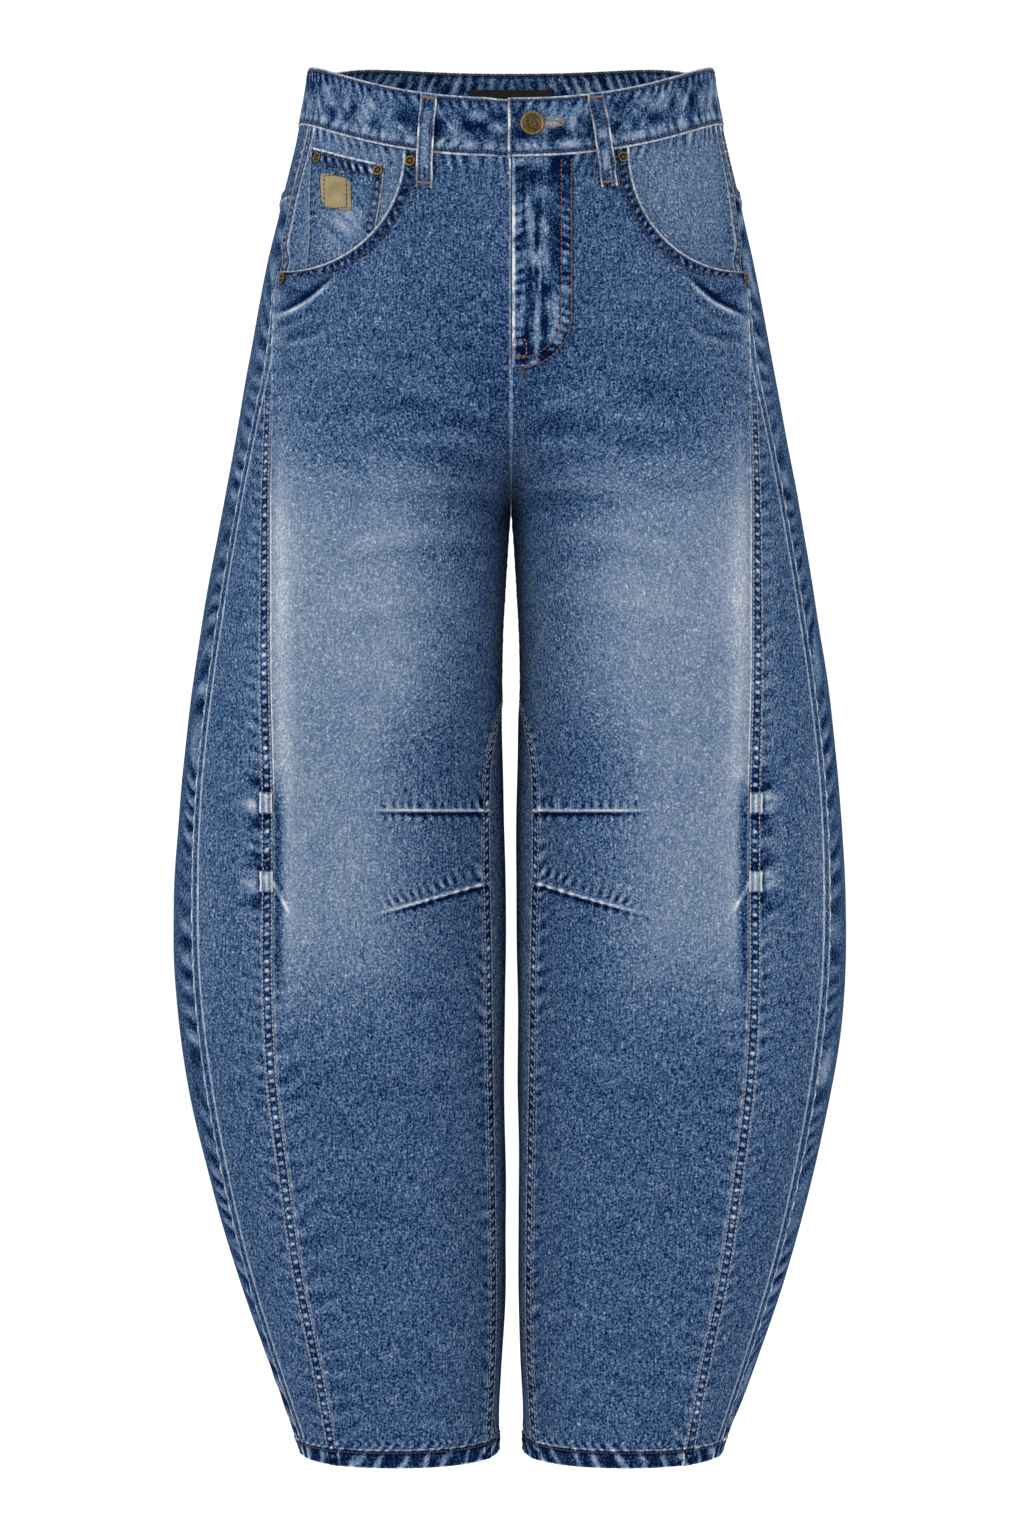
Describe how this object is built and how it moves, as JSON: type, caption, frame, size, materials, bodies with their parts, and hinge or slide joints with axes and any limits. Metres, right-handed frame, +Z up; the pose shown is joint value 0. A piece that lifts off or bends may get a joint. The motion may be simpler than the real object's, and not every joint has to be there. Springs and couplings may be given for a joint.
{
  "type": "barrel leg trousers",
  "caption": "High-waisted denim trousers with wide rounded legs that narrow at the hem, filled out as when worn, open at the waist and both hems.",
  "frame": {"origin": "centre of the waist opening, level with the waistband's top edge over the hips", "axes": "+Z up, the wearer faces -Y, the wearer's left is +X"},
  "size_m": [0.4756, 0.2551, 1.0038],
  "materials": {
    "denim": "stonewashed mid-blue denim",
    "denim_band": "stonewashed mid-blue denim, darker at the waistband and loops",
    "brass": "antique brass, worn",
    "patch": "matt olive-tan, blank",
    "label": "plain black woven cloth"
  },
  "bodies": {
    "root": {"front_left": "denim", "barrel_side_left": "denim", "yoke_left": "denim", "back_left": "denim", "pocket_facing_left": "denim", "waistband_left": "denim_band", "front_right": "denim", "barrel_side_right": "denim", "yoke_right": "denim", "back_right": "denim", "pocket_facing_right": "denim", "waistband_right": "denim_band", "fly": "denim", "coin_pocket": "denim", "patch": "patch", "label": "label", "button": "brass", "belt_loop_front_left": "denim_band", "belt_loop_front_right": "denim_band", "belt_loop_back_left": "denim_band", "belt_loop_back_right": "denim_band", "belt_loop_back_middle": "denim_band", "rivet_pocket_top_left": "brass", "rivet_pocket_top_right": "brass", "rivet_pocket_side_left": "brass", "rivet_pocket_side_right": "brass", "rivet_coin_inner": "brass", "rivet_coin_outer": "brass"}
  },
  "joints": []
}
